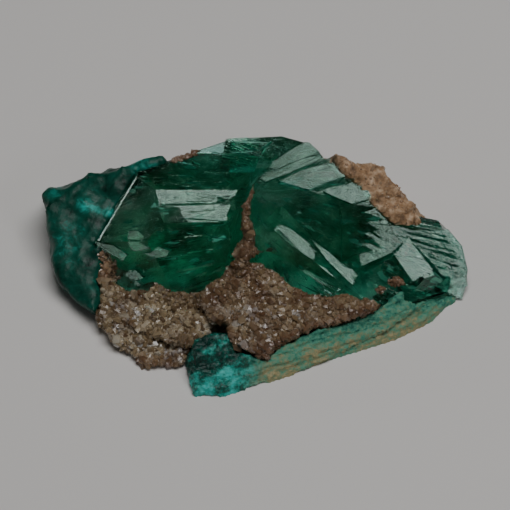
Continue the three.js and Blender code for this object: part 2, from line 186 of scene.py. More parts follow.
def waves(points, pitches, seed=0.0):
    """Noise at each point, summed over (waves per millimetre, height) pairs."""
    total = np.zeros(len(points))
    for pitch, height in pitches:
        scaled = points / MM * pitch + seed
        total += height * np.array([noise.noise(Vector(p)) for p in scaled])
    return total


# Nodes

class Nodes:
    """Short ways to build a material's node tree."""

    def __init__(self, name):
        self.material = bpy.data.materials.new(name)
        self.material.use_nodes = True
        self.tree = self.material.node_tree
        self.shader = self.tree.nodes["Principled BSDF"]
        self.output = self.tree.nodes["Material Output"]

    def add(self, kind, sockets=None, **settings):
        made = self.tree.nodes.new(kind)
        for key, value in settings.items():
            setattr(made, key, value)
        for key, value in (sockets or {}).items():
            self.feed(made.inputs[key], value)
        return made

    def feed(self, socket, value):
        if isinstance(value, bpy.types.NodeSocket):
            self.tree.links.new(value, socket)
        else:
            socket.default_value = value

    def place(self):
        return self.add("ShaderNodeTexCoord").outputs["Object"]

    def attribute(self, name, output="Fac"):
        return self.add("ShaderNodeAttribute", attribute_name=name).outputs[output]

    def vector(self, operation, a, b=None):
        made = self.add("ShaderNodeVectorMath", {0: a}, operation=operation)
        if b is not None:
            self.feed(made.inputs[1], b)
        return made.outputs["Vector"]

    def plus(self, a, b):
        return self.add("ShaderNodeMath", {0: a, 1: b}, operation="ADD").outputs[0]

    def times(self, a, b):
        return self.add("ShaderNodeMath", {0: a, 1: b}, operation="MULTIPLY").outputs[0]

    def noise(self, vector, scale, detail=4.0, roughness=0.55, distortion=0.0):
        keys = ("Vector", "Scale", "Detail", "Roughness", "Distortion")
        sockets = dict(zip(keys, (vector, scale, detail, roughness, distortion)))
        return self.add("ShaderNodeTexNoise", sockets).outputs["Fac"]

    def range(self, value, low, high, to_low=0.0, to_high=1.0):
        sockets = {0: value, 1: low, 2: high, 3: to_low, 4: to_high}
        return self.add("ShaderNodeMapRange", sockets).outputs[0]

    def ramp(self, value, stops):
        made = self.add("ShaderNodeValToRGB", {"Fac": value})
        band = made.color_ramp
        while len(band.elements) < len(stops):
            band.elements.new(0.5)
        for element, (position, colour) in zip(band.elements, stops):
            element.position = position
            element.color = (*colour, 1)
        return made.outputs["Color"]

    def mix(self, share, a, b):
        made = self.add("ShaderNodeMix", data_type="RGBA")
        self.feed(made.inputs[0], share)
        for socket, value in ((made.inputs[6], a), (made.inputs[7], b)):
            self.feed(socket, value if isinstance(value, bpy.types.NodeSocket) else (*value, 1))
        return made.outputs[2]

    def bump(self, height, distance, strength=1.0, below=None):
        sockets = {"Height": height, "Distance": distance * MM, "Strength": strength}
        made = self.add("ShaderNodeBump", sockets)
        if below is not None:
            self.feed(made.inputs["Normal"], below)
        return made.outputs["Normal"]

    def finish(self, **sockets):
        for key, value in sockets.items():
            name = key.replace("_", " ")
            if isinstance(value, tuple) and len(value) == 3:
                value = (*value, 1)
            self.feed(self.shader.inputs[name], value)
        return self.material


DIOPTASE_COLOUR = (0.0, 0.87, 0.77, 1)
DIOPTASE_ABSORPTION = 420.0  # per metre
STEP_HEIGHT = 0.014
PIT_HEIGHT = 0.12


def dioptase_material():
    """Clear emerald green, with fine steps that radiate from each crystal's centre."""
    n = Nodes("dioptase")
    place = n.place()
    ray = n.vector("NORMALIZE", n.vector("SUBTRACT", place, n.attribute("centre", "Vector")))
    bent = n.vector("ADD", n.vector("MULTIPLY", ray, (60,) * 3), n.vector("MULTIPLY", place, (220,) * 3))
    steps = n.range(n.noise(bent, 1.0, 1, 0.5), 0.54, 0.555)
    more_steps = n.range(n.noise(bent, 1.9, 1, 0.5), 0.61, 0.63)
    fine = n.noise(n.vector("MULTIPLY", ray, (95,) * 3), 1.0, 4, 0.6)
    etched = n.times(n.attribute("etched"), n.noise(place, 1500, 5, 0.65))
    height = n.plus(steps, n.times(more_steps, 0.7))
    grooves = n.noise(n.vector("MULTIPLY", ray, (120,) * 3), 1.0, 2, 0.5)
    grooves = n.times(n.range(grooves, 0.47, 0.5), n.attribute("striated"))
    height = n.plus(height, n.times(grooves, 2.5))
    normal = n.bump(height, STEP_HEIGHT)
    normal = n.bump(etched, PIT_HEIGHT, below=normal)
    sockets = {"Color": DIOPTASE_COLOUR, "Density": DIOPTASE_ABSORPTION}
    absorbing = n.add("ShaderNodeVolumeAbsorption", sockets)
    n.tree.links.new(absorbing.outputs[0], n.output.inputs["Volume"])
    return n.finish(
        Base_Color=(0.85, 1.0, 0.96),
        Roughness=n.range(fine, 0.35, 0.7, 0.0, 0.03),
        IOR=1.66,
        Transmission_Weight=1.0,
        Specular_Tint=(0.72, 1.0, 0.87),
        Normal=normal,
    )


def veil_material():
    """Fractures and cloudy films inside the crystals, from faint to bright."""
    n = Nodes("veils")
    stops = [
        (0.0, (0.02, 0.1, 0.07)),
        (0.5, (0.1, 0.45, 0.32)),
        (0.85, (0.3, 0.8, 0.6)),
        (1.0, (0.8, 1.0, 0.95)),
    ]
    colour = n.ramp(n.attribute("tint"), stops)
    bump = n.bump(n.noise(n.place(), 1800, 4, 0.6), 0.05)
    return n.finish(Base_Color=colour, Roughness=0.4, IOR=1.2, Normal=bump)


def rock_colour(n, place):
    """Grey-brown rock, rusty on the shelf and seam, ochre at the upper right, and a pale mint painted glow
    where the crystals hide it.
    """
    grain = n.noise(place, 900, 8, 0.65)
    cloud = n.noise(place, 260, 5, 0.6)
    grey = n.ramp(grain, [(0.3, (0.04, 0.027, 0.016)), (0.5, (0.17, 0.12, 0.072)), (0.7, (0.4, 0.32, 0.21))])
    rust = n.ramp(grain, [(0.3, (0.04, 0.02, 0.012)), (0.5, (0.2, 0.1, 0.055)), (0.72, (0.42, 0.27, 0.18))])
    ochre = n.ramp(grain, [(0.3, (0.08, 0.04, 0.018)), (0.5, (0.34, 0.2, 0.1)), (0.68, (0.62, 0.46, 0.32))])
    colour = n.mix(n.attribute("rust"), grey, rust)
    colour = n.mix(n.attribute("ochre"), colour, ochre)
    # painted glow: pale mint on the rock seen through the crystals, standing in for light that passes
    # through them
    painted_glow = n.ramp(cloud, [(0.36, (0.05, 0.07, 0.05)), (0.5, (0.22, 0.34, 0.25)), (0.64, (0.65, 0.9, 0.75))])
    return n.mix(n.attribute("bed"), colour, painted_glow)


def matrix_material():
    n = Nodes("matrix")
    place = n.place()
    bump = n.bump(n.noise(place, 2600, 8, 0.7), 0.09)
    return n.finish(Base_Color=rock_colour(n, place), Roughness=0.62, Normal=bump)


def grain_material():
    """Druse grains: small cloudy quartz points, grey or stained brown."""
    n = Nodes("druse")
    place = n.place()
    tint = n.attribute("tint")
    stops = [
        (0.0, (0.17, 0.1, 0.05)),
        (0.22, (0.46, 0.34, 0.19)),
        (0.55, (0.7, 0.57, 0.38)),
        (0.85, (0.84, 0.77, 0.62)),
        (1.0, (0.95, 0.93, 0.9)),
    ]
    clear = n.ramp(tint, stops)
    stain = n.range(n.noise(place, 330, 5, 0.6), 0.44, 0.6)
    brown = n.mix(0.65, clear, (0.2, 0.1, 0.05))
    colour = n.mix(stain, clear, brown)
    colour = n.mix(n.times(n.attribute("rust"), 0.7), colour, (0.3, 0.14, 0.075))
    colour = n.mix(n.times(n.attribute("ochre"), 0.55), colour, (0.8, 0.55, 0.36))
    bump = n.bump(n.noise(place, 5200, 3), 0.02)
    return n.finish(
        Base_Color=colour,
        Roughness=n.range(tint, 0, 1, 0.3, 0.1),
        IOR=1.54,
        Transmission_Weight=0.55,
        Normal=bump,
    )


def crust_material():
    """Teal crust: a glassy dark blue-green mass with patches of bright turquoise."""
    n = Nodes("teal_crust")
    place = n.place()
    cloud = n.noise(place, 190, 4, 0.55, 0.6)
    speck = n.noise(place, 900, 5, 0.65, 0.8)
    mixed = n.plus(n.times(cloud, 0.55), n.times(speck, 0.45))
    stops = [
        (0.36, (0.0, 0.014, 0.009)),
        (0.47, (0.001, 0.05, 0.032)),
        (0.56, (0.0015, 0.08, 0.053)),
        (0.63, (0.004, 0.19, 0.145)),
        (0.7, (0.02, 0.44, 0.37)),
    ]
    colour = n.ramp(n.plus(mixed, n.times(n.attribute("turquoise"), 0.17)), stops)
    bump = n.bump(n.noise(place, 1000, 4, 0.55), 0.1)
    return n.finish(
        Base_Color=colour,
        Roughness=n.range(speck, 0.3, 0.7, 0.3, 0.5),
        Specular_IOR_Level=0.22,
        Normal=bump,
    )


def vein_material():
    """Fibrous vein: teal and tan laminae, dark and glassy at its left end."""
    n = Nodes("vein")
    place = n.place()
    along = n.add("ShaderNodeMapping", {"Vector": place, "Rotation": (0.05, 0.04, -0.35)}).outputs[0]
    fibre = n.vector("MULTIPLY", along, (0.4, 1.0, 1.0))
    lines = n.noise(fibre, 2300, 8, 0.72, 0.5)
    speck = n.noise(place, 2600, 8, 0.75)
    cloud = n.noise(along, 420, 5, 0.6, 0.4)
    mixed = n.plus(n.times(lines, 0.3), n.times(speck, 0.4))
    mixed = n.plus(mixed, n.times(cloud, 0.3))
    mixed = n.plus(mixed, n.times(n.attribute("tan"), 0.09))
    stops = [
        (0.4, (0.004, 0.05, 0.036)),
        (0.46, (0.015, 0.15, 0.105)),
        (0.51, (0.06, 0.27, 0.18)),
        (0.56, (0.13, 0.27, 0.165)),
        (0.61, (0.24, 0.24, 0.12)),
        (0.67, (0.4, 0.33, 0.17)),
    ]
    silky = n.ramp(mixed, stops)
    patches = n.noise(place, 640, 7, 0.7)
    stops = [
        (0.45, (0.0, 0.03, 0.022)),
        (0.54, (0.003, 0.09, 0.065)),
        (0.62, (0.012, 0.3, 0.24)),
        (0.72, (0.04, 0.5, 0.45)),
    ]
    glassy = n.ramp(n.plus(patches, n.times(n.attribute("tan"), 0.12)), stops)
    colour = n.mix(n.attribute("glassy"), silky, glassy)
    bump = n.bump(mixed, 0.2)
    return n.finish(
        Base_Color=colour,
        Roughness=n.range(n.attribute("glassy"), 0, 1, 0.5, 0.2),
        Specular_IOR_Level=0.35,
        Normal=bump,
    )


# Crystals

def face_frame(face):
    """Two directions along a face and its normal."""
    normal = face.normal.copy()
    across = normal.orthogonal().normalized()
    return across, normal.cross(across), normal


def inside(point, outline):
    """Whether a flat point lies inside a closed outline."""
    x, y = point
    hit = False
    for (x0, y0), (x1, y1) in zip(outline, outline[1:] + outline[:1]):
        if (y0 > y) != (y1 > y) and x < (x1 - x0) * (y - y0) / (y1 - y0) + x0:
            hit = not hit
    return hit


def flattened(points, base, axes):
    """Points as flat coordinates on a face."""
    return [((p - base).dot(axes[0]), (p - base).dot(axes[1])) for p in points]


def is_left(point):
    """Whether a point belongs to the left crystal."""
    right, up, _ = display_place(point)
    (x0, y0), (x1, y1) = SEAM_LINE
    return right < x0 + (x1 - x0) * (up - y0) / (y1 - y0)


# The right end's upper faces: where they start on the display side and how they face
STRIATED_FROM = 8.5
STRIATED_OUT = 0.9
STRIATED_RIGHT = 0.15
STRIATED_UP = 0.25


def is_striated(point, normal):
    """Whether a face is one of the right end's upper faces."""
    right, _, _ = display_place(point)
    turned = normal.dot(OUT) > STRIATED_OUT and normal.dot(RIGHT) > STRIATED_RIGHT
    return right > STRIATED_FROM and turned and normal.dot(UP) < STRIATED_UP


def centre_for(point):
    return shown(*(LEFT_CENTRE if is_left(point) else RIGHT_CENTRE))


# Growth strips, in millimetres and square millimetres
STRIP_LENGTH = (1.0, 4.6)
STRIP_WIDTH = (0.08, 0.42)
STRIP_RISE = (0.03, 0.12)
STRIP_TILT = math.radians(2.5)
STRIP_TAPER = (0.3, 1.0)
STRIP_SKEW = 0.6
STRIP_SINK = 0.4
NEAREST_CENTRE = 1.5
STRIPS_PER_AREA = 1.15
MOST_STRIPS = 46
LEAST_AREA = 1.2
FLAT_ANGLE = 0.004

# On the right end's upper faces the strips are denser, longer, thinner and ragged
DENSER = 3.2
LONGER = 1.4
THINNER = 0.55
STEEPER = 3
OVERHANG = 1.3


def strip_on(face, outline, axes, chance):
    """A thin strip on a face, pointing away from the crystal's centre, or None where it doesn't fit."""
    across, along, normal = axes
    low = Vector((min(p[0] for p in outline), min(p[1] for p in outline)))
    high = Vector((max(p[0] for p in outline), max(p[1] for p in outline)))
    spot = Vector((chance.uniform(low.x, high.x), chance.uniform(low.y, high.y)))
    if not inside(spot, outline):
        return None
    base = face.verts[0].co
    place = base + across * spot.x + along * spot.y
    ray = place - centre_for(place)
    ray -= normal * ray.dot(normal)
    if ray.length < NEAREST_CENTRE * MM:
        return None
    ray.normalize()
    side = normal.cross(ray)
    ragged = is_striated(place, normal)
    length = chance.uniform(*STRIP_LENGTH) * MM * (LONGER if ragged else 1)
    width = chance.uniform(*STRIP_WIDTH) * MM * (THINNER if ragged else 1)
    rise = chance.uniform(*STRIP_RISE) * MM
    taper = chance.uniform(*STRIP_TAPER)
    skew = chance.uniform(-STRIP_SKEW, STRIP_SKEW) * width
    tilt = math.tan(chance.uniform(-STRIP_TILT, STRIP_TILT) * (STEEPER if ragged else 1))
    feet = []
    tops = []
    for run, reach in ((-1, -1), (1, -taper), (1, taper), (-1, 1)):
        corner = place + ray * run * length / 2 + side * (reach * width / 2 + skew * run / 2)
        feet.append(corner + (ray * run + side * math.copysign(1, reach)) * rise)
        tops.append(corner + normal * (rise + tilt * (corner - place).dot(side)))
    kept = feet
    if ragged:
        kept = feet[1:3] + [(feet[0] + feet[3]) / 2 + ray * OVERHANG * MM]
    if not all(inside(p, outline) for p in flattened(kept, base, axes)):
        return None
    return [c - normal * STRIP_SINK * MM for c in feet] + feet + tops


# A strip's faces: its corners are three rings of four, from its sunk foot to its top
BOX_FACES = ((3, 2, 1, 0), (8, 9, 10, 11)) + tuple(
    (ring + i, ring + (i + 1) % 4, ring + 4 + (i + 1) % 4, ring + 4 + i)
    for ring in (0, 4)
    for i in range(4)
)

# Facings on the display side: the bright ones mirror a light and the dark ones the empty studio
BRIGHT_LEFT = (0.0, 0.342, 0.94)
DARK_LEFT = (0.0, 0.13, 0.992)
BRIGHT_TOP = (0.123, 0.36, 0.925)
DARK_TOP = (0.2, 0.1, 0.975)
BRIGHT_SPEAR = (0.23, 0.22, 0.948)
BRIGHT_END = (0.3, -0.05, 0.95)
DARK_END = (0.2, -0.08, 0.977)
BRIGHT_CORNER = (0.15, 0.3, 0.94)
DIM_TIP = (-0.4, -0.25, 0.882)

# Smooth plates on the etched tip of the left crystal, as outlines on the display side
TIP_PLATES = (
    (0.26, ((-16.4, 2.5), (-14.5, 2.1), (-13.0, 1.1), (-13.5, 0.5), (-14.9, 1.3), (-16.1, 2.0))),
    (0.26, ((-12.7, 3.6), (-11.8, 3.6), (-11.2, 3.0), (-11.4, 2.65), (-13.0, 2.75))),
    (0.26, ((-13.0, 2.5), (-11.8, 2.5), (-10.7, 1.8), (-11.4, 1.5), (-12.5, 1.6))),
    (0.26, ((-11.4, 1.3), (-10.5, 1.3), (-9.8, 2.0), (-8.6, 1.5), (-8.9, 0.9), (-10.0, 0.8))),
    (0.6, (
        (-12.7, -0.4), (-12.0, -0.4), (-11.2, -1.2), (-12.0, -1.5), (-11.4, -2.0), (-11.9, -2.6),
        (-13.0, -2.8), (-14.2, -1.8),
    )),
)

# Growth plates of the other faces: facing, rise above the face, outline
FACE_PLATES = (
    (DARK_LEFT, 0.05, (
        (-3.7, 7.05), (-2.5, 6.85), (-1.9, 7.2), (-1.8, 5.7), (-3.1, 5.7), (-3.35, 6.2), (-3.85, 6.4),
    )),
    (DARK_LEFT, 0.05, ((-10.0, 6.2), (-7.6, 5.95), (-7.3, 5.0), (-6.7, 4.45), (-9.2, 4.3))),
    (DARK_LEFT, 0.04, ((-9.7, 6.35), (-3.9, 6.3), (-3.9, 6.17), (-9.6, 6.15))),
    (DARK_LEFT, 0.05, ((-6.4, 11.8), (-2.5, 13.1), (-2.3, 11.7), (-4.0, 11.2), (-6.2, 11.1))),
    (BRIGHT_LEFT, 0.12, ((-6.2, 11.7), (-2.6, 12.4), (-2.5, 12.0), (-6.1, 11.3))),
    (BRIGHT_LEFT, 0.12, ((-2.7, 13.2), (-0.6, 13.35), (-0.5, 13.05), (-2.6, 12.85))),
    (DARK_TOP, 0.1, ((2.0, 9.75), (5.2, 11.1), (6.9, 11.8), (7.0, 11.5), (5.4, 10.65), (2.2, 9.35))),
    (DARK_TOP, 0.1, ((2.6, 9.05), (5.1, 10.2), (8.1, 11.2), (7.9, 10.7), (5.2, 9.6), (2.9, 8.65))),
    (DARK_TOP, 0.1, ((6.1, 8.0), (8.2, 8.75), (10.6, 9.05), (10.3, 8.55), (8.2, 8.1), (6.7, 7.55))),
    (DARK_END, 0.1, ((18.6, -1.2), (20.6, -1.2), (20.4, -2.6), (19.0, -2.8))),
    (BRIGHT_END, 0.06, (
        (18.9, 3.6), (20.4, 3.75), (21.9, 2.0), (22.5, -0.5), (22.2, -2.5), (21.9, -3.6),
        (20.3, -3.0), (20.8, -1.2), (20.9, 0.2), (20.0, 2.2),
    )),
    (BRIGHT_END, 0.2, ((18.8, -0.55), (21.5, -0.4), (21.0, -1.9), (20.2, -1.5))),
    (BRIGHT_TOP, 0.17, (
        (2.08, 10.71), (5.3, 12.69), (5.72, 12.69), (6.86, 11.75), (5.3, 11.1), (2.29, 9.85), (1.77, 10.09),
    )),
    (BRIGHT_TOP, 0.16, (
        (0.6, 9.05), (1.77, 9.65), (2.18, 9.6), (4.37, 10.75), (6.86, 11.5), (7.07, 11.02), (5.51, 10.3),
        (2.81, 9.15), (1.25, 8.6),
    )),
    (BRIGHT_TOP, 0.18, (
        (2.6, 8.66), (4.16, 9.4), (5.62, 9.95), (7.9, 10.61), (8.42, 10.5), (8.94, 9.57), (9.57, 9.15),
        (7.18, 8.4), (5.82, 7.8), (5.1, 7.95), (3.54, 8.45),
    )),
    (BRIGHT_TOP, 0.17, (
        (7.28, 7.59), (10.61, 8.43), (11.34, 8.01), (10.82, 7.75), (11.96, 7.7), (12.2, 7.18),
        (11.86, 6.76), (10.3, 6.3), (9.15, 6.76),
    )),
    (DARK_END, 0.3, (
        (9.2, 6.45), (12.79, 6.03), (11.44, 5.51), (13.62, 4.78), (11.75, 4.47), (13.1, 3.64),
        (11.54, 3.33), (12.79, 2.5), (11.23, 2.18), (12.38, 1.56), (10.3, 0.94), (9.2, 0.31),
    )),
    (DIM_TIP, 0.06, ((0.94, 1.04), (4.89, -1.46), (8.0, -3.2), (7.8, -3.55), (4.7, -1.9), (0.83, 0.73))),
    (DIM_TIP, 0.06, ((1.77, 1.77), (5.93, -0.73), (8.84, -2.8), (8.63, -3.0), (5.72, -1.04), (1.66, 1.56))),
    (DIM_TIP, 0.06, ((0.3, 0.2), (3.3, -2.0), (3.1, -2.2), (0.2, 0.0))),
    (BRIGHT_SPEAR, 0.25, (
        (6.1, 2.5), (8.0, 1.15), (9.5, -0.2), (10.3, -0.5), (10.9, -1.1), (10.5, -1.45), (10.4, -2.2),
        (9.5, -1.4), (7.6, 0.5),
    )),
    (BRIGHT_SPEAR, 0.05, ((6.5, 0.3), (7.6, -0.4), (8.5, -1.3), (7.6, -0.75))),
    (BRIGHT_CORNER, 0.12, ((14.7, 1.05), (16.4, 2.5), (18.7, -0.5), (16.6, -1.75))),
)
PLATE_SINK = 0.9

# Dark streaks that radiate over the bright faces: facing, rise, slope from the right crystals'
# centre, start, end, width at the end
DARK_STREAKS = (
    (DARK_END, 0.09, -0.19, 13.0, 19.3, 0.2),
    (DARK_END, 0.09, -0.215, 14.6, 20.2, 0.12),
    (DARK_END, 0.09, -0.24, 12.4, 20.6, 0.26),
    (DARK_END, 0.09, -0.275, 14.0, 21.0, 0.16),
    (DARK_END, 0.09, -0.3, 16.2, 21.2, 0.34),
    (DARK_END, 0.09, -0.34, 17.2, 21.3, 0.18),
    (DARK_END, 0.09, -0.375, 18.6, 21.3, 0.3),
    (DARK_TOP, 0.18, 0.45, 3.0, 6.4, 0.07),
    (DARK_TOP, 0.2, 0.27, 3.6, 8.2, 0.09),
    (DARK_TOP, 0.2, 0.2, 4.4, 8.9, 0.06),
    (DARK_TOP, 0.19, 0.075, 8.4, 11.2, 0.07),
    (DARK_END, 0.22, -0.98, 2.6, 5.4, 0.1),
)


def streak_outline(slope, start, end, width):
    """A thin wedge on a line through the right crystals' centre."""
    x, y, _ = RIGHT_CENTRE
    near, far = (y + slope * (right - x) for right in (start, end))
    return (
        (start, near + width / 4),
        (end, far + width / 2),
        (end, far - width / 2),
        (start, near - width / 4),
    )


def tree_of(mesh, placed=Matrix()):
    corners = [placed @ v.co for v in mesh.vertices]
    return BVHTree.FromPolygons(corners, [list(p.vertices) for p in mesh.polygons])


def look_at(tree, right, up):
    """What the view meets first at a place on the display side."""
    return tree.ray_cast(shown(right, up, FAR), -OUT)


def prism_faces(first, count):
    """Faces of a prism whose lower corners run clockwise from above, its upper ones after them."""
    low = [first + i for i in range(count)]
    high = [first + count + i for i in range(count)]
    sides = [[low[i], high[i], high[(i + 1) % count], low[(i + 1) % count]] for i in range(count)]
    return [low, high[::-1]] + sides


def add_plate(tree, outline, facing, rise, verts, faces):
    """Adds a prism that rises from the face below its middle, its top turned to a facing."""
    middle = [sum(p[axis] for p in outline) / len(outline) for axis in (0, 1)]
    spot, _, _, _ = look_at(tree, *middle)
    if spot is None:
        return
    normal = (RIGHT * facing[0] + UP * facing[1] + OUT * facing[2]).normalized()
    faces += prism_faces(len(verts), len(outline))
    for level in (-PLATE_SINK, rise):
        for right, up in outline:
            corner = shown(right, up, FAR)
            fall = (corner - spot).dot(normal) / OUT.dot(normal)
            verts.append(corner - OUT * fall + normal * level * MM)


def add_plates(mesh, verts, faces):
    tree = tree_of(mesh)
    for rise, outline in TIP_PLATES:
        add_plate(tree, outline, DIM_TIP, rise, verts, faces)
    for facing, rise, outline in FACE_PLATES:
        add_plate(tree, outline, facing, rise, verts, faces)
    for facing, rise, *streak in DARK_STREAKS:
        add_plate(tree, streak_outline(*streak), facing, rise, verts, faces)


def growth_strips(mesh):
    """Growth strips for all the larger faces of the crystals, each one a closed box, and the plates."""
    chance = random.Random(STRIP_SEED)
    work = bmesh.new()
    work.from_mesh(mesh)
    bmesh.ops.dissolve_limit(work, angle_limit=FLAT_ANGLE, verts=work.verts, edges=work.edges)
    boxes = []
    for face in work.faces:
        area = face.calc_area() / MM**2
        if area < LEAST_AREA:
            continue
        axes = face_frame(face)
        outline = flattened([v.co for v in face.verts], face.verts[0].co, axes)
        wanted = min(MOST_STRIPS, round(area * STRIPS_PER_AREA))
        if is_striated(face.calc_center_median(), face.normal):
            wanted = round(wanted * DENSER)
        for _ in range(wanted):
            box = strip_on(face, outline, axes, chance)
            if box:
                boxes.append(box)
    work.free()
    verts = [corner for box in boxes for corner in box]
    faces = [[12 * i + corner for corner in quad] for i in range(len(boxes)) for quad in BOX_FACES]
    add_plates(mesh, verts, faces)
    strips = bpy.data.meshes.new("growth_strips")
    strips.from_pydata(verts, [], faces)
    return strips


# The left crystal's rough tip: its right end on the display side and how its faces turn
TIP_TO = -8
TIP_RIGHT = -0.3
TIP_UP = 0.2
TIP_OUT = 0.2

# How rough and how striated the other faces are
HARDLY_ETCHED = 0.004
HARDLY_STRIATED = 0.12


def is_etched(point, normal):
    """Whether a face is on the left crystal's rough tip, between the smooth plates."""
    right, up, _ = display_place(point)
    turned = normal.dot(RIGHT) < TIP_RIGHT and normal.dot(UP) < TIP_UP and normal.dot(OUT) > TIP_OUT
    if right >= TIP_TO or not turned:
        return False
    return not any(inside((right, up), outline) for _, outline in TIP_PLATES)


def make_crystals():
    piece = solid_copy("crystals", "crystals_clear", dioptase_material())
    strips = new_object("growth_strips", growth_strips(piece.data))
    joined = piece.modifiers.new("strips", "BOOLEAN")
    joined.operation = "UNION"
    joined.solver = "EXACT"
    joined.use_self = True
    joined.object = strips
    bake_modifiers(piece)
    bpy.data.objects.remove(strips)
    mesh = piece.data
    set_vertices(mesh, vertex_array(mesh))
    centres = []
    etched = []
    striated = []
    for face in mesh.polygons:
        centres.append(centre_for(face.center))
        etched.append(1.0 if is_etched(face.center, face.normal) else HARDLY_ETCHED)
        striated.append(1.0 if is_striated(face.center, face.normal) else HARDLY_STRIATED)
    add_attribute(mesh, "centre", centres, "FLOAT_VECTOR", "FACE")
    add_attribute(mesh, "etched", etched, domain="FACE")
    add_attribute(mesh, "striated", striated, domain="FACE")
    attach(piece, "root")
    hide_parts("crystals")
    return piece


# Films inside the crystals, in millimetres
VEILS = 1150
VEIL_AREA = ((-17, 21), (-4, 13.5))  # right and up
VEIL_CORNERS = 9
VEIL_THICKNESS = 0.03
VEIL_DEPTH = (0.7, 5.0)
VEIL_LENGTH = (0.05, 1.1)  # the least, and how much the longest ones add
VEIL_WIDTH = (0.08, 0.4)  # as a share of the length
VEIL_TURN = 0.35  # how far they turn from facing the camera
VEIL_REACH = (0.35, 1.15)
VEIL_JITTER = 0.3
VEIL_ROOM = 1.2  # how thick the crystal is at least
CLEARANCE = 0.12  # from the crystals' surface
BELOW_FACE = 0.05
ABOVE_BACK = 0.3


def within(tree, point, room):
    """Whether a point lies inside a closed shape, clear of its surface."""
    near, normal, _, distance = tree.find_nearest(point)
    return near is not None and (point - near).dot(normal) < 0 and distance > room * MM


# Bright films just below the faces: right, up, length, brightness
FLASHES = (
    (19.6, -2.3, 0.9, 0.9), (18.6, -2.1, 0.7, 0.75), (19.0, -1.4, 0.8, 0.8), (13.6, -1.0, 0.9, 0.6),
    (12.2, -2.0, 0.8, 0.7), (14.4, -0.2, 0.6, 0.65), (-10.1, 6.1, 0.5, 0.9), (-9.5, 5.8, 0.35, 0.8),
    (18.7, -1.5, 0.6, 0.6), (14.8, -2.4, 0.6, 0.6), (16.6, -2.2, 0.7, 0.6),
    (11.4, 3.4, 0.7, 0.35), (10.6, 2.4, 0.8, 0.35), (9.6, 4.6, 0.7, 0.3),
    (3.8, 5.2, 0.28, 1.0), (4.8, 5.5, 0.25, 1.0), (7.4, 11.3, 0.2, 1.0),
)
FLASH_WIDTH = (0.3, 0.6)
FLASH_DEPTH = 0.9
FLASH_ROOM = 0.5
FLASH_TRIES = 30

# Films near the back of the thin right end: count, area to the right and up, brightness
DEEP_FILMS = (
    (480, ((14.5, 22.3), (-3.6, 5.0)), (0.22, 0.5)),
    (260, ((17.8, 21.0), (-3.3, -0.8)), (0.6, 0.85)),
)
DEEP_LENGTH = (0.4, 1.1)
DEEP_WIDTH = (0.5, 0.9)
DEEP_LIFT = 0.35
DEEP_ROOM = 0.5
DEEP_CLEARANCE = 0.05


def deep_film(tree, chance, area):
    """A film just before the crystals' back, or None where it doesn't fit."""
    front, _, _, _ = look_at(tree, *(chance.uniform(*side) for side in area))
    if front is None:
        return None
    back, normal, _, room = tree.ray_cast(front - OUT * BELOW_FACE * MM, -OUT)
    if back is None or room < DEEP_ROOM * MM:
        return None
    centre = back + OUT * min(DEEP_LIFT * MM, room / 2)
    length = chance.uniform(*DEEP_LENGTH) * MM
    width = length * chance.uniform(*DEEP_WIDTH)
    return film(tree, chance, centre, -normal, length, width, DEEP_CLEARANCE)


def veil(tree, chance, flash=None):
    """A thin jagged film inside the crystals, or None where it doesn't fit."""
    if flash:
        place = flash[:2]
    else:
        place = [chance.uniform(*side) for side in VEIL_AREA]
    front, normal, _, _ = look_at(tree, *place)
    if front is None:
        return None
    back, _, _, room = tree.ray_cast(front - OUT * BELOW_FACE * MM, -OUT)
    if back is None or room < (FLASH_ROOM if flash else VEIL_ROOM) * MM:
        return None
    deepest = min(VEIL_DEPTH[1], room / MM - ABOVE_BACK)
    centre = front - OUT * chance.uniform(VEIL_DEPTH[0], deepest) * MM
    facing = (OUT + Vector([chance.gauss(0, VEIL_TURN) for _ in range(3)])).normalized()
    if flash:
        facing = (facing + normal * 2).normalized()
    least, most = VEIL_LENGTH
    length = (least + most * chance.random() ** 2.5) * MM
    width = length * chance.uniform(*VEIL_WIDTH)
    if flash:
        centre = front - OUT * min(FLASH_DEPTH, deepest) * MM
        length = flash[2] * MM
        width = length * chance.uniform(*FLASH_WIDTH)
    return film(tree, chance, centre, facing, length, width, CLEARANCE)


def film(tree, chance, centre, facing, length, width, room):
    """Corners of a thin jagged film along a crystal's streaks, or None where it isn't inside."""
    ray = centre - centre_for(centre)
    ray = (ray - facing * ray.dot(facing)).normalized()
    side = facing.cross(ray)
    corners = []
    for i in range(VEIL_CORNERS):
        turn = math.tau * (i + chance.uniform(-VEIL_JITTER, VEIL_JITTER)) / VEIL_CORNERS
        reach = chance.uniform(*VEIL_REACH)
        corners.append(centre + (ray * math.cos(turn) * length + side * math.sin(turn) * width) * reach)
    if not all(within(tree, corner, room) for corner in corners):
        return None
    lift = facing * VEIL_THICKNESS * MM
    return corners + [corner + lift for corner in corners]


def make_veils(crystals):
    """Inner fractures of the crystals, the bright and the deep ones first."""
    tree = tree_of(crystals.data)
    chance = random.Random(VEIL_SEED)
    verts, faces, tints = [], [], []
    flashes = list(FLASHES)
    deep = [(area, brightness) for count, area, brightness in DEEP_FILMS for _ in range(count)]
    while len(tints) < VEILS * VEIL_CORNERS * 2:
        tint = chance.random() ** 1.5
        corners = None
        if flashes:
            flash = flashes.pop()
            tint = flash[3]
            for _ in range(FLASH_TRIES):
                corners = corners or veil(tree, chance, flash)
        elif deep:
            area, brightness = deep.pop()
            tint = chance.uniform(*brightness)
            corners = deep_film(tree, chance, area)
        else:
            corners = veil(tree, chance)
        if corners is None:
            continue
        faces += [face[::-1] for face in prism_faces(len(verts), VEIL_CORNERS)]
        verts += corners
        tints += [tint] * len(corners)
    films = bpy.data.meshes.new("inner_veils")
    films.from_pydata(verts, [], faces)
    add_attribute(films, "tint", tints)
    piece = new_object("inner_veils", films, veil_material())
    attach(piece, "root")


# Rock

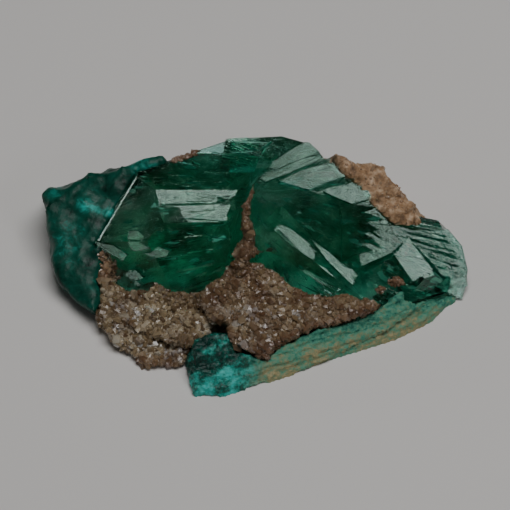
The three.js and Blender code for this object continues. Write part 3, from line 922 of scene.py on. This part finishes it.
def soft_step(value, low, high):
    share = np.clip((value - low) / (high - low), 0, 1)
    return share * share * (3 - 2 * share)


# Lines of rusty rock on the display side: the shelf's edge and the seam
RUST_LINES = (
    ((-2.6, -7.3), (-2.2, -8.8), (1.0, -9.6), (3.3, -7.9), (5.1, -7.0), (7.9, -6.2), (12.9, -4.6)),
    ((0.5, 8.0), (-1.0, 6.5), (-1.2, 4.5), (-0.5, 2.6), (-0.3, 0.9), (-0.8, -1.6)),
    ((-11.5, -9.8), (-9.2, -10.6), (-6.8, -10.8)),
)
RUST_STRENGTHS = (1.0, 0.5, 0.8)
RUST_REACH = 0.9
SHELF_START = (-5.4, -3.4)  # from here to the right all the rock is a little rusty
SHELF_RUST = 0.3
TOP_STRIP = ((8.5, 9.5), (3, 5))  # where the rusty top edge starts: up and left
OCHRE_CORNER = ((7.5, 10), (0.5, 2.5))  # where the ochre rock starts: right and up
OCHRE_SPOT = (-14.9, -0.3, 1.6)  # right, up and reach of a paler ochre spot
SPOT_OCHRE = 0.8


def distance_to_line(right, up, line):
    """How far flat points lie from a line of straight pieces."""
    nearest = np.full(len(right), np.inf)
    for (x0, y0), (x1, y1) in zip(line, line[1:]):
        length = (x1 - x0) ** 2 + (y1 - y0) ** 2
        share = np.clip(((right - x0) * (x1 - x0) + (up - y0) * (y1 - y0)) / length, 0, 1)
        nearest = np.minimum(nearest, np.hypot(right - x0 - share * (x1 - x0), up - y0 - share * (y1 - y0)))
    return nearest


def rock_areas(points):
    """How rusty and how ochre the rock is at each point."""
    right, up, _ = display_coordinates(points).T
    ochre = soft_step(right, *OCHRE_CORNER[0]) * soft_step(up, *OCHRE_CORNER[1])
    x, y, reach = OCHRE_SPOT
    spot = 1 - soft_step(np.hypot(right - x, up - y), 0.5 * reach, reach)
    ochre = np.maximum(ochre, SPOT_OCHRE * spot)
    top = soft_step(up, *TOP_STRIP[0]) * soft_step(-right, *TOP_STRIP[1])
    rust = SHELF_RUST * soft_step(right, *SHELF_START) * (1 - ochre)
    for line, strength in zip(RUST_LINES, RUST_STRENGTHS):
        near = strength * np.exp(-(distance_to_line(right, up, line) / RUST_REACH) ** 2)
        rust = np.maximum(rust, near)
    return np.maximum(rust, top), ochre


def add_rock_areas(mesh):
    rust, ochre = rock_areas(vertex_array(mesh))
    add_attribute(mesh, "rust", rust)
    add_attribute(mesh, "ochre", ochre)


def facing_crystals(points, directions, tree, reach):
    """1 for points from which a ray meets a crystal within a reach."""
    met = [
        tree.ray_cast(Vector(point), Vector(direction), reach * MM)[0] is not None
        for point, direction in zip(points, directions)
    ]
    return np.array(met, dtype=float)


def under_crystals(points, tree, reach=FAR):
    """1 for points that a crystal hides from the camera."""
    return facing_crystals(points, np.tile(np.array(OUT), (len(points), 1)), tree, reach)


def grown_points(mesh, points, height, fade):
    """Points moved along their normals by a height, which fades out at the base, in millimetres."""
    free = soft_step(points[:, 2], 0.0, fade * MM)
    return points + normal_array(mesh) * (height * free * MM)[:, None]


# Where the rock is lowered so that a crystal shows: right, up, reach
CLEARED = ((-12.8, -1.6, 2.6), (1.75, 1.5, 1.15))
CLEARED_FULLY = 0.85  # up to this share of the reach
CLEARED_OUT = 1.5  # only rock further out of the display side than this
CLEARED_BY = 0.35  # how far under the crystal's face it ends


def clear_crystals(points, tree):
    """Lowers rock that stands over a crystal in the cleared places to just under its face."""
    right, up, out = display_coordinates(points).T
    for x, y, reach in CLEARED:
        share = 1 - soft_step(np.hypot(right - x, up - y), CLEARED_FULLY * reach, reach)
        for i in np.flatnonzero((share > 0) & (out > CLEARED_OUT)):
            spot, _, _, _ = look_at(tree, right[i], up[i])
            if spot is not None:
                excess = max(0.0, out[i] - display_place(spot)[2] + CLEARED_BY)
                points[i] -= np.array(OUT) * excess * share[i] * MM
    return points


# The rock's surface, in millimetres
ROCK_VOXEL = 0.3
ROCK_WAVES = ((0.8, 0.3), (1.9, 0.2), (4.3, 0.12))
ROCK_SWELL = 0.12  # how far it stands out over the solid
BESIDE_SWELL = 0.35  # more of it beside a crystal
UNDER_SWELL = 0.15  # and more under one
UNDER_CALM = 0.6  # how much of the roughness is missing there
BASE_FADE = 0.6
SEAM_MIDDLE = -0.8
SEAM_HALF = 1.6
SEAM_START = (0.0, 1.5)
SEAM_THIN = 0.7
SEAM_SINK = 0.15
BESIDE_REACH = 1.5
UNDER_REACH = 3
COVERED_REACH = 4
BED_BACK = (5.5, 7.0)  # behind this the painted glow is kept only on rock that touches the crystals


def make_matrix():
    piece = solid_copy("matrix", "matrix_rock", matrix_material())
    remesh(piece, ROCK_VOXEL)
    mesh = piece.data
    points = vertex_array(mesh)
    normals = normal_array(mesh)
    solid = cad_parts["crystals"]
    tree = tree_of(solid.data, solid.matrix_world)
    beside = facing_crystals(points, normals, tree, BESIDE_REACH)
    bed = under_crystals(points, tree)
    right, up, _ = display_coordinates(points).T
    seam = (np.abs(right - SEAM_MIDDLE) < SEAM_HALF) * soft_step(up, *SEAM_START)
    swell = beside * (BESIDE_SWELL + UNDER_SWELL * bed) * (1 - SEAM_THIN * seam)
    rough = waves(points, ROCK_WAVES, seed=3.7) * (1 - UNDER_CALM * np.maximum(bed, seam))
    height = ROCK_SWELL + swell + rough - SEAM_SINK * seam
    grown = grown_points(mesh, points, height, BASE_FADE)
    poking = (bed > 0.5) & (under_crystals(grown, tree) < 0.5)
    grown[poking] = points[poking]
    grown = clear_crystals(grown, tree)
    set_vertices(mesh, grown)
    smooth(piece, times=2)
    mesh = piece.data
    add_rock_areas(mesh)
    # bed: where the painted glow goes, on rock the crystals hide from the camera and on faces turned towards
    # it
    bed = np.maximum(bed, under_crystals(grown, tree, UNDER_REACH))
    bed *= soft_step(normals @ np.array(OUT), 0.0, 0.3)
    covered = facing_crystals(points, normals, tree, COVERED_REACH)
    behind = soft_step(points[:, 1] / MM, *BED_BACK)
    add_attribute(mesh, "bed", bed * (1 - behind * (1 - covered)))
    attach(piece, "root")
    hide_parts("matrix")
    return piece


# A pointed grain of size 1: radius and height of its lower and upper ring, and its point's height
GRAIN_SIDES = 6
GRAIN_RINGS = ((0.5, -0.6), (0.46, 0.1))
GRAIN_POINT = 0.42


def grain_template():
    """Corners and faces of one grain."""
    turn = np.arange(GRAIN_SIDES) * 2 * np.pi / GRAIN_SIDES
    ring = np.stack([np.cos(turn), np.sin(turn)], axis=1)
    rings = [np.column_stack([ring * radius, np.full(GRAIN_SIDES, z)]) for radius, z in GRAIN_RINGS]
    corners = np.vstack([*rings, [[0, 0, GRAIN_POINT]]])
    faces = [list(range(GRAIN_SIDES))[::-1]]
    for i in range(GRAIN_SIDES):
        j = (i + 1) % GRAIN_SIDES
        faces.append([i, j, GRAIN_SIDES + j, GRAIN_SIDES + i])
        faces.append([GRAIN_SIDES + i, GRAIN_SIDES + j, 2 * GRAIN_SIDES])
    return corners, faces


def surface_samples(mesh, count, rng, wanted):
    """Seeded places and normals on a mesh, where wanted(places, normals) gives each one's chance."""
    mesh.calc_loop_triangles()
    loops = np.empty(len(mesh.loop_triangles) * 3, dtype=np.int32)
    mesh.loop_triangles.foreach_get("vertices", loops)
    corners = vertex_array(mesh)[loops.reshape(-1, 3)]
    cross = np.cross(corners[:, 1] - corners[:, 0], corners[:, 2] - corners[:, 0])
    size = np.linalg.norm(cross, axis=1)
    normals = cross / np.maximum(size, 1e-20)[:, None]
    share = size * wanted(corners.mean(axis=1), normals)
    chosen = rng.choice(len(share), size=count, p=share / share.sum())
    a, b = rng.random((2, count))
    flip = a + b > 1
    a[flip], b[flip] = 1 - a[flip], 1 - b[flip]
    tri = corners[chosen]
    places = tri[:, 0] + a[:, None] * (tri[:, 1] - tri[:, 0]) + b[:, None] * (tri[:, 2] - tri[:, 0])
    return places, normals[chosen]


def unit(vectors):
    return vectors / np.maximum(np.linalg.norm(vectors, axis=1), 1e-12)[:, None]


def grains(name, places, normals, sizes, tints, rng, lean=0.7, jitter=0.16, stretch=(0.8, 1.5)):
    """One mesh of many pointed grains, each with its own turn, lean and slightly uneven corners."""
    corners, faces = grain_template()
    count = len(places)
    up = unit(normals + lean * rng.normal(size=(count, 3)) * 0.6)
    helper = unit(np.cross(up, rng.normal(size=(count, 3))))
    other = np.cross(up, helper)
    shapes = corners[None] * (1 + jitter * rng.normal(size=(count, len(corners), 1)))
    shapes[:, :, 2] *= rng.uniform(*stretch, size=count)[:, None]
    shapes *= (sizes * MM)[:, None, None]
    points = (
        places[:, None]
        + shapes[:, :, 0:1] * helper[:, None]
        + shapes[:, :, 1:2] * other[:, None]
        + shapes[:, :, 2:3] * up[:, None]
    )
    step = len(corners)
    all_faces = [[step * i + c for c in face] for i in range(count) for face in faces]
    mesh = bpy.data.meshes.new(name)
    flat = np.clip(points.reshape(-1, 3), np.array(CAD_LOW), np.array(CAD_HIGH))
    mesh.from_pydata(flat.tolist(), [], all_faces)
    add_attribute(mesh, "tint", np.repeat(tints, step))
    return mesh


# The druse: how many points, their sizes in millimetres, and how densely they stand where
DRUSE_COUNT = 7200
DRUSE_SIZE = (0.22, 0.75)  # the least, and how much the largest ones add
DRUSE_FACING = (-0.35, 0.25)
DRUSE_FRONT = (-1.0, 1.0)  # the slope in front is fully covered
DRUSE_SEAM = (-0.6, 1.8, 0.6)  # middle, half width, density
DRUSE_OCHRE = (8, 10, 0.15)
DRUSE_ELSEWHERE = 0.05
DRUSE_BASE = 0.5
OCHRE_SHRINK = 0.5
PATCH_WAVES = ((0.35, 1.0), (0.8, 0.5))


def make_druse(rock, crystals):
    """Quartz points all over the open rock, smaller close to the crystals and darkened there as painted
    shade.
    """
    rng = np.random.default_rng(DRUSE_SEED)
    tree = tree_of(crystals.data)

    def wanted(places, normals):
        right, up, _ = display_coordinates(places).T
        open_air = 1 - under_crystals(places, tree)
        facing = soft_step(normals @ np.array(OUT), *DRUSE_FACING)
        middle, half, density = DRUSE_SEAM
        seam = density * (np.abs(right - middle) < half)
        start, full, sparse = DRUSE_OCHRE
        ochre = soft_step(right, start, full) * sparse
        density = np.clip(soft_step(-up, *DRUSE_FRONT) + seam + ochre + DRUSE_ELSEWHERE, 0, 1)
        return open_air * facing * density * (places[:, 2] > DRUSE_BASE * MM)

    places, normals = surface_samples(rock.data, DRUSE_COUNT, rng, wanted)
    least, most = DRUSE_SIZE
    sizes = least + most * rng.random(DRUSE_COUNT) ** 3
    right, up, _ = display_coordinates(places).T
    sizes[(right > OCHRE_CORNER[0][0]) & (up > OCHRE_CORNER[1][0])] *= OCHRE_SHRINK
    room = np.array([tree.find_nearest(Vector(place))[3] for place in places]) / MM
    sizes *= np.minimum(1.0, 0.25 + 0.5 * room)
    patches = soft_step(waves(places, PATCH_WAVES, seed=5.5), -0.45, 0.45)
    # tints: random, in lighter and darker patches, with painted shade that darkens the points near the
    # crystals
    tints = rng.random(DRUSE_COUNT) * (0.45 + 0.55 * patches) * np.minimum(1.15, 0.25 + 0.3 * room)
    mesh = grains("druse_grains", places, normals, sizes, tints, rng)
    piece = new_object("druse_grains", mesh, grain_material())
    add_rock_areas(mesh)
    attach(piece, "root")


# Tufts on the right end, on the left crystal's top and at its tip: right, up, reach, count, lift, ochre
TUFTS = (
    (15.0, -1.8, 0.85, 90, 0, 0.3),
    (13.3, -2.6, 0.5, 35, 0, 0.3),
    (-8.2, 10.9, 0.5, 75, 0.5, 0.3),
    (-7.5, 11.1, 0.5, 80, 0.5, 0.3),
    (-6.8, 11.3, 0.45, 60, 0.45, 0.3),
    (-6.2, 11.5, 0.35, 30, 0.4, 0.3),
    (-15.5, 0.9, 0.7, 60, 0, 0.8),
    (-15.0, 0.0, 1.0, 130, 0, 0.9),
    (-14.8, -1.2, 0.8, 80, 0, 0.7),
)
TUFT_FLATTEN = 0.7
TUFT_PILE = 0.2  # how high a tuft's middle stands
TUFT_GRAIN = (0.12, 0.3)  # the least size, and how much the largest grains add


def make_tufts(supports):
    """Small rusty and ochre clusters on the crystals, the crust and the vein."""
    rng = np.random.default_rng(TUFT_SEED)
    trees = [tree_of(piece.data) for piece in supports]
    places, normals, ochres = [], [], []
    for right, up, reach, count, lift, ochre in TUFTS:
        for _ in range(count):
            turn, away = rng.uniform(0, math.tau), reach * rng.random() ** 0.7
            x, y = right + away * math.cos(turn), up + TUFT_FLATTEN * away * math.sin(turn)
            hits = [(tree, *look_at(tree, x, y)) for tree in trees]
            hits = [hit for hit in hits if hit[1] is not None]
            if hits:
                tree, spot, *_ = min(hits, key=lambda hit: hit[4])
                spot, normal, _, _ = tree.find_nearest(spot + UP * lift * MM)
                places.append(spot + normal * TUFT_PILE * (1 - away / reach) * MM)
                normals.append(normal)
                ochres.append(ochre)
    least, most = TUFT_GRAIN
    sizes = least + most * rng.random(len(places)) ** 1.5
    tints = rng.random(len(places))
    mesh = grains("rusty_tufts", np.array(places), np.array(normals), sizes, tints, rng, lean=1.2)
    piece = new_object("rusty_tufts", mesh, grain_material())
    ochres = np.repeat(ochres, len(grain_template()[0]))
    add_attribute(mesh, "rust", 1.3 - ochres)
    add_attribute(mesh, "ochre", ochres)
    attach(piece, "root")


# Bright parts of the crust on the display side: right, up, reach
TURQUOISE_SPOTS = ((-11.8, 10.4, 3.4), (-17.4, 5.9, 1.9), (-15.0, 5.3, 1.4), (-21.0, 7.4, 1.3))

# The crust's surface, in millimetres
CRUST_VOXEL = 0.22
CRUST_WAVES = ((0.5, 0.2), (1.2, 0.12), (2.8, 0.07))
CRUST_SWELL = 0.16
CRUST_BESIDE = 0.5


def make_crust(crystals):
    piece = solid_copy("teal_crust", "crust_rock", crust_material())
    remesh(piece, CRUST_VOXEL)
    smooth(piece, times=50)
    mesh = piece.data
    points = vertex_array(mesh)
    beside = facing_crystals(points, normal_array(mesh), tree_of(crystals.data), BESIDE_REACH)
    height = CRUST_SWELL + waves(points, CRUST_WAVES, seed=9.1) + CRUST_BESIDE * beside
    set_vertices(mesh, grown_points(mesh, points, height, BASE_FADE))
    smooth(piece, times=4)
    mesh = piece.data
    mesh.shade_smooth()
    right, up, _ = display_coordinates(points).T
    bright = np.zeros(len(points))
    for x, y, reach in TURQUOISE_SPOTS:
        bright = np.maximum(bright, 1 - soft_step(np.hypot(right - x, up - y), 0, reach))
    add_attribute(mesh, "turquoise", bright)
    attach(piece, "root")
    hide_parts("teal_crust")
    return piece


# The vein's broken foot runs out in front of the plane that its front follows, in millimetres
FOOT_START = (-5.9, -14.6)  # the front's left end on the ground: x and y
FOOT_SLOPE = 0.395
FOOT_LEAN = 0.75
FOOT_OUT = 1.2
FOOT_DEPTH = (0.3, 3.5)
FOOT_HEIGHT = 3.3
FOOT_ENDS = ((-6.2, -3.0), (18.4, 20.6))


def run_out_foot(points):
    """How far the vein's foot comes forward at each point, in metres."""
    x, y, z = (points / MM).T
    front = FOOT_START[1] + FOOT_SLOPE * (x - FOOT_START[0]) + FOOT_LEAN * z
    (left, left_full), (right_full, right) = FOOT_ENDS
    share = soft_step(x, left, left_full) * (1 - soft_step(x, right_full, right))
    share *= (1 - soft_step(y - front, *FOOT_DEPTH)) * np.clip(1 - z / FOOT_HEIGHT, 0, 1)
    return FOOT_OUT * share * MM


# The vein's surface, in millimetres
VEIN_VOXEL = 0.2
VEIN_TURN = -0.35  # its direction about the upright axis
VEIN_STRETCH = (0.14, 1.0, 1.4)
FIBRE_WAVES = ((1.3, 0.14), (3.1, 0.1))
VEIN_WAVES = ((1.1, 0.18), (2.9, 0.12))
VEIN_SWELL = 0.05
VEIN_FADE = 0.5
GLASSY_END = (-2.0, 1.5)
TAN_START = (-5.5, -13.4)  # the tan foot's left end on the display side: right and up
TAN_SLOPE = 0.29
TAN_HEIGHT = (0.2, 3.2)


def make_vein():
    piece = solid_copy("foot_vein", "vein_fibres", vein_material())
    remesh(piece, VEIN_VOXEL)
    mesh = piece.data
    points = vertex_array(mesh)
    along = points @ np.array(Matrix.Rotation(VEIN_TURN, 3, "Z")).T
    fibres = waves(along * np.array(VEIN_STRETCH), FIBRE_WAVES, seed=2.2)
    height = VEIN_SWELL + fibres + waves(points, VEIN_WAVES, seed=6.0)
    grown = grown_points(mesh, points, height, VEIN_FADE)
    grown[:, 1] -= run_out_foot(points)
    set_vertices(mesh, grown)
    right, up, _ = display_coordinates(grown).T
    add_attribute(mesh, "glassy", soft_step(-right, *GLASSY_END))
    foot = TAN_START[1] + TAN_SLOPE * (right - TAN_START[0])
    add_attribute(mesh, "tan", 1 - soft_step(up - foot, *TAN_HEIGHT))
    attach(piece, "root")
    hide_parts("foot_vein")
    return piece


# Studio

TARGET = Vector((0, 0, 0.005))
KEY_PLACE = (0.095, -0.0075, 0.5)
KEY_SIZE = (0.39, 0.265)
KEY_RADIANCE = 5.3

# The smaller lights: name, direction, distance, size, radiance
SIDE_LIGHTS = (
    ("right_fill", (0.57, -0.59, 0.556), 0.6, (0.12, 0.12), 4.0),
    ("left_edge", (-0.936, 0.296, 0.186), 0.6, (0.11, 0.09), 6.0),
    ("front_left", (-0.706, -0.695, 0.142), 0.5, (0.13, 0.13), 1.7),
)
WORLD_COLOUR = (0.012, 0.012, 0.012, 1)


def soft_light(name, place, size, radiance):
    """A rectangular light of a given radiance that faces the specimen."""
    light = bpy.data.lights.new(name, "AREA")
    light.shape = "RECTANGLE"
    light.size, light.size_y = size
    light.energy = radiance * math.pi * size[0] * size[1]
    lamp = bpy.data.objects.new(name, light)
    bpy.context.scene.collection.objects.link(lamp)
    lamp.location = place
    lamp.rotation_mode = "QUATERNION"
    lamp.rotation_quaternion = (TARGET - Vector(place)).to_track_quat("-Z", "Y")
    return lamp


def add_studio():
    """One large light straight above, three small ones around, and a pale floor."""
    key = soft_light("key", KEY_PLACE, KEY_SIZE, KEY_RADIANCE)
    key.rotation_quaternion = (1, 0, 0, 0)
    for name, way, distance, size, radiance in SIDE_LIGHTS:
        soft_light(name, Vector(way) * distance, size, radiance)
    world = bpy.data.worlds.new("studio")
    bpy.context.scene.world = world
    world.use_nodes = True
    world.node_tree.nodes["Background"].inputs[0].default_value = WORLD_COLOUR

    bpy.ops.mesh.primitive_plane_add(size=3)
    floor = bpy.context.object
    floor.name = "floor"
    n = Nodes("floor")
    floor.data.materials.append(n.finish(Base_Color=(0.7, 0.68, 0.66), Roughness=0.7))
    floor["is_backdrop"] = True


def add_camera():
    camera = bpy.data.cameras.new("camera")
    holder = bpy.data.objects.new("camera", camera)
    bpy.context.scene.collection.objects.link(holder)
    half_view = math.atan(VIEW_WIDTH / 2 / CAMERA_DISTANCE)
    camera.lens = camera.sensor_width / (2 * math.tan(half_view))
    camera.clip_start = 0.01
    holder.location = shown(*CAMERA_AIM) + OUT * CAMERA_DISTANCE
    holder.rotation_mode = "QUATERNION"
    holder.rotation_quaternion = (-OUT).to_track_quat("-Z", "Y")
    bpy.context.scene.camera = holder


add_camera()
add_studio()
crystals = make_crystals()
make_veils(crystals)
make_druse(make_matrix(), crystals)
make_tufts((crystals, make_crust(crystals), make_vein()))
